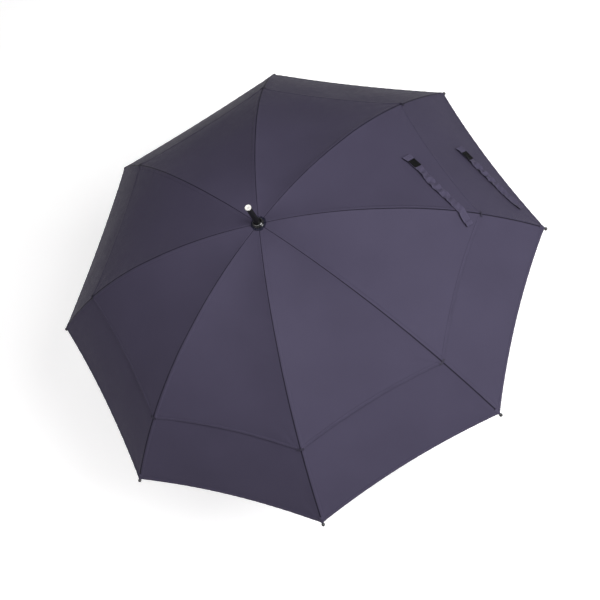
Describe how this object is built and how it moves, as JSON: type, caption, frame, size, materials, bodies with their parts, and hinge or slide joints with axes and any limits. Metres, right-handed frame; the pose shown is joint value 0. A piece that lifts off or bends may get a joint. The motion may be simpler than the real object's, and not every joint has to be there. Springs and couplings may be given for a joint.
{
  "type": "golf umbrella",
  "caption": "Large open umbrella with a vented double canopy, straight shaft and handle, and a folding frame of ribs, stretchers and a sliding runner.",
  "frame": {"origin": "centre of the handle's flat end face", "axes": "+Z along the shaft from the handle to the ferrule; +X through the middle of the gore that carries the tie straps"},
  "size_m": [1.2328, 1.2328, 1],
  "materials": {
    "fabric": "plain-weave pongee, slate purple, slight sheen",
    "gloss_black": "glossy moulded black",
    "satin_black": "satin black coating",
    "shaft_black": "satin black coating on tube",
    "grip": "matte soft grip",
    "steel": "bright zinc",
    "silver": "off-white, faint turned rings",
    "rib": "black glass-fibre rod",
    "loop": "black hook-and-loop"
  },
  "bodies": {
    "frame": {"shaft": "shaft_black", "stop_pin": "steel", "handle_grip": "grip", "handle_end_cap": "gloss_black", "handle_collar": "silver", "ferrule": "satin_black", "ferrule_end_cap": "silver", "crown_cap": "gloss_black", "rosette": "fabric", "top_notch": "gloss_black", "top_notch_wire": "steel"},
    "rib_1": {"rib_1": "rib", "rib_tip_1": "gloss_black"},
    "stretcher_1": {"stretcher_1": "steel"},
    "rib_2": {"rib_2": "rib", "rib_tip_2": "gloss_black"},
    "stretcher_2": {"stretcher_2": "steel"},
    "rib_3": {"rib_3": "rib", "rib_tip_3": "gloss_black"},
    "stretcher_3": {"stretcher_3": "steel"},
    "rib_4": {"rib_4": "rib", "rib_tip_4": "gloss_black"},
    "stretcher_4": {"stretcher_4": "steel"},
    "rib_5": {"rib_5": "rib", "rib_tip_5": "gloss_black"},
    "stretcher_5": {"stretcher_5": "steel"},
    "rib_6": {"rib_6": "rib", "rib_tip_6": "gloss_black"},
    "stretcher_6": {"stretcher_6": "steel"},
    "rib_7": {"rib_7": "rib", "rib_tip_7": "gloss_black"},
    "stretcher_7": {"stretcher_7": "steel"},
    "rib_8": {"rib_8": "rib", "rib_tip_8": "gloss_black"},
    "stretcher_8": {"stretcher_8": "steel"},
    "runner": {"runner": "gloss_black", "runner_wire": "steel", "runner_collar": "satin_black"},
    "gore_1": {"upper_panel_1": "fabric", "lower_panel_1": "fabric"},
    "gore_2": {"upper_panel_2": "fabric", "lower_panel_2": "fabric", "tie_strap_upper": "fabric", "tie_strap_lower": "fabric", "strap_patch_upper": "loop", "strap_patch_lower": "loop"},
    "gore_3": {"upper_panel_3": "fabric", "lower_panel_3": "fabric"},
    "gore_4": {"upper_panel_4": "fabric", "lower_panel_4": "fabric"},
    "gore_5": {"upper_panel_5": "fabric", "lower_panel_5": "fabric"},
    "gore_6": {"upper_panel_6": "fabric", "lower_panel_6": "fabric"},
    "gore_7": {"upper_panel_7": "fabric", "lower_panel_7": "fabric"},
    "gore_8": {"upper_panel_8": "fabric", "lower_panel_8": "fabric"},
    "upper_catch": {"upper_catch": "steel"},
    "lower_catch": {"lower_catch": "steel"}
  },
  "joints": [
    {"name": "canopy_fold", "type": "hinge", "parent": "frame", "child": "rib_1", "pos_m": [0.00574, 0.01386, 0.9095], "axis": [-0.9239, 0.3827, 0], "range_deg": [0, 61], "deforming": ["upper_panel_1", "lower_panel_1", "upper_panel_2", "lower_panel_2", "tie_strap_upper", "tie_strap_lower", "strap_patch_upper", "strap_patch_lower", "upper_panel_3", "lower_panel_3", "upper_panel_4", "lower_panel_4", "upper_panel_5", "lower_panel_5", "upper_panel_6", "lower_panel_6", "upper_panel_7", "lower_panel_7", "upper_panel_8", "lower_panel_8", "upper_catch", "lower_catch"]},
    {"name": "stretcher_pivot_1", "type": "hinge", "parent": "rib_1", "child": "stretcher_1", "pos_m": [0.13161, 0.31774, 0.82342], "axis": [-0.9239, 0.3827, 0], "range_deg": [-122.5, 0.5]},
    {"name": "rib_fold_2", "type": "hinge", "parent": "frame", "child": "rib_2", "pos_m": [0.01386, 0.00574, 0.9095], "axis": [-0.3827, 0.9239, 0], "range_deg": [0, 61]},
    {"name": "stretcher_pivot_2", "type": "hinge", "parent": "rib_2", "child": "stretcher_2", "pos_m": [0.31774, 0.13161, 0.82342], "axis": [-0.3827, 0.9239, 0], "range_deg": [-122.5, 0.5]},
    {"name": "rib_fold_3", "type": "hinge", "parent": "frame", "child": "rib_3", "pos_m": [0.01386, -0.00574, 0.9095], "axis": [0.3827, 0.9239, 0], "range_deg": [0, 61]},
    {"name": "stretcher_pivot_3", "type": "hinge", "parent": "rib_3", "child": "stretcher_3", "pos_m": [0.31774, -0.13161, 0.82342], "axis": [0.3827, 0.9239, 0], "range_deg": [-122.5, 0.5]},
    {"name": "rib_fold_4", "type": "hinge", "parent": "frame", "child": "rib_4", "pos_m": [0.00574, -0.01386, 0.9095], "axis": [0.9239, 0.3827, 0], "range_deg": [0, 61]},
    {"name": "stretcher_pivot_4", "type": "hinge", "parent": "rib_4", "child": "stretcher_4", "pos_m": [0.13161, -0.31774, 0.82342], "axis": [0.9239, 0.3827, 0], "range_deg": [-122.5, 0.5]},
    {"name": "rib_fold_5", "type": "hinge", "parent": "frame", "child": "rib_5", "pos_m": [-0.00574, -0.01386, 0.9095], "axis": [0.9239, -0.3827, 0], "range_deg": [0, 61]},
    {"name": "stretcher_pivot_5", "type": "hinge", "parent": "rib_5", "child": "stretcher_5", "pos_m": [-0.13161, -0.31774, 0.82342], "axis": [0.9239, -0.3827, 0], "range_deg": [-122.5, 0.5]},
    {"name": "rib_fold_6", "type": "hinge", "parent": "frame", "child": "rib_6", "pos_m": [-0.01386, -0.00574, 0.9095], "axis": [0.3827, -0.9239, 0], "range_deg": [0, 61]},
    {"name": "stretcher_pivot_6", "type": "hinge", "parent": "rib_6", "child": "stretcher_6", "pos_m": [-0.31774, -0.13161, 0.82342], "axis": [0.3827, -0.9239, 0], "range_deg": [-122.5, 0.5]},
    {"name": "rib_fold_7", "type": "hinge", "parent": "frame", "child": "rib_7", "pos_m": [-0.01386, 0.00574, 0.9095], "axis": [-0.3827, -0.9239, 0], "range_deg": [0, 61]},
    {"name": "stretcher_pivot_7", "type": "hinge", "parent": "rib_7", "child": "stretcher_7", "pos_m": [-0.31774, 0.13161, 0.82342], "axis": [-0.3827, -0.9239, 0], "range_deg": [-122.5, 0.5]},
    {"name": "rib_fold_8", "type": "hinge", "parent": "frame", "child": "rib_8", "pos_m": [-0.00574, 0.01386, 0.9095], "axis": [-0.9239, -0.3827, 0], "range_deg": [0, 61]},
    {"name": "stretcher_pivot_8", "type": "hinge", "parent": "rib_8", "child": "stretcher_8", "pos_m": [-0.13161, 0.31774, 0.82342], "axis": [-0.9239, -0.3827, 0], "range_deg": [-122.5, 0.5]},
    {"name": "runner_pivot", "type": "hinge", "parent": "stretcher_1", "child": "runner", "pos_m": [0.00574, 0.01386, 0.73734], "axis": [-0.9239, 0.3827, 0], "range_deg": [-0.5, 61.5]},
    {"name": "gore_fold_1", "type": "hinge", "parent": "frame", "child": "gore_1", "pos_m": [0.01061, 0.01061, 0.9125], "axis": [-0.7071, 0.7071, 0], "range_deg": [-0.5, 58]},
    {"name": "gore_fold_2", "type": "hinge", "parent": "frame", "child": "gore_2", "pos_m": [0.015, 0, 0.9125], "axis": [0, 1, 0], "range_deg": [-0.5, 58]},
    {"name": "gore_fold_3", "type": "hinge", "parent": "frame", "child": "gore_3", "pos_m": [0.01061, -0.01061, 0.9125], "axis": [0.7071, 0.7071, 0], "range_deg": [-0.5, 58]},
    {"name": "gore_fold_4", "type": "hinge", "parent": "frame", "child": "gore_4", "pos_m": [0, -0.015, 0.9125], "axis": [1, 0, 0], "range_deg": [-0.5, 58]},
    {"name": "gore_fold_5", "type": "hinge", "parent": "frame", "child": "gore_5", "pos_m": [-0.01061, -0.01061, 0.9125], "axis": [0.7071, -0.7071, 0], "range_deg": [-0.5, 58]},
    {"name": "gore_fold_6", "type": "hinge", "parent": "frame", "child": "gore_6", "pos_m": [-0.015, 0, 0.9125], "axis": [0, -1, 0], "range_deg": [-0.5, 58]},
    {"name": "gore_fold_7", "type": "hinge", "parent": "frame", "child": "gore_7", "pos_m": [-0.01061, 0.01061, 0.9125], "axis": [-0.7071, -0.7071, 0], "range_deg": [-0.5, 58]},
    {"name": "gore_fold_8", "type": "hinge", "parent": "frame", "child": "gore_8", "pos_m": [0, 0.015, 0.9125], "axis": [-1, 0, 0], "range_deg": [-0.5, 58]},
    {"name": "upper_catch_press", "type": "slide", "parent": "frame", "child": "upper_catch", "axis": [0, 1, 0], "range_m": [-0.0031, 0], "stiffness_N_per_m": 400, "springref_m": 0.0008},
    {"name": "lower_catch_press", "type": "slide", "parent": "frame", "child": "lower_catch", "axis": [0, 1, 0], "range_m": [-0.0031, 0], "stiffness_N_per_m": 400, "springref_m": 0.0008}
  ],
  "couplings": [
    {"joint": "stretcher_pivot_1", "follows": "canopy_fold", "ratio": -2},
    {"joint": "rib_fold_2", "follows": "canopy_fold", "ratio": 1},
    {"joint": "stretcher_pivot_2", "follows": "canopy_fold", "ratio": -2},
    {"joint": "rib_fold_3", "follows": "canopy_fold", "ratio": 1},
    {"joint": "stretcher_pivot_3", "follows": "canopy_fold", "ratio": -2},
    {"joint": "rib_fold_4", "follows": "canopy_fold", "ratio": 1},
    {"joint": "stretcher_pivot_4", "follows": "canopy_fold", "ratio": -2},
    {"joint": "rib_fold_5", "follows": "canopy_fold", "ratio": 1},
    {"joint": "stretcher_pivot_5", "follows": "canopy_fold", "ratio": -2},
    {"joint": "rib_fold_6", "follows": "canopy_fold", "ratio": 1},
    {"joint": "stretcher_pivot_6", "follows": "canopy_fold", "ratio": -2},
    {"joint": "rib_fold_7", "follows": "canopy_fold", "ratio": 1},
    {"joint": "stretcher_pivot_7", "follows": "canopy_fold", "ratio": -2},
    {"joint": "rib_fold_8", "follows": "canopy_fold", "ratio": 1},
    {"joint": "stretcher_pivot_8", "follows": "canopy_fold", "ratio": -2},
    {"joint": "runner_pivot", "follows": "canopy_fold", "ratio": 1},
    {"joint": "gore_fold_1", "follows": "canopy_fold", "ratio": 0.943},
    {"joint": "gore_fold_2", "follows": "canopy_fold", "ratio": 0.943},
    {"joint": "gore_fold_3", "follows": "canopy_fold", "ratio": 0.943},
    {"joint": "gore_fold_4", "follows": "canopy_fold", "ratio": 0.943},
    {"joint": "gore_fold_5", "follows": "canopy_fold", "ratio": 0.943},
    {"joint": "gore_fold_6", "follows": "canopy_fold", "ratio": 0.943},
    {"joint": "gore_fold_7", "follows": "canopy_fold", "ratio": 0.943},
    {"joint": "gore_fold_8", "follows": "canopy_fold", "ratio": 0.943}
  ]
}
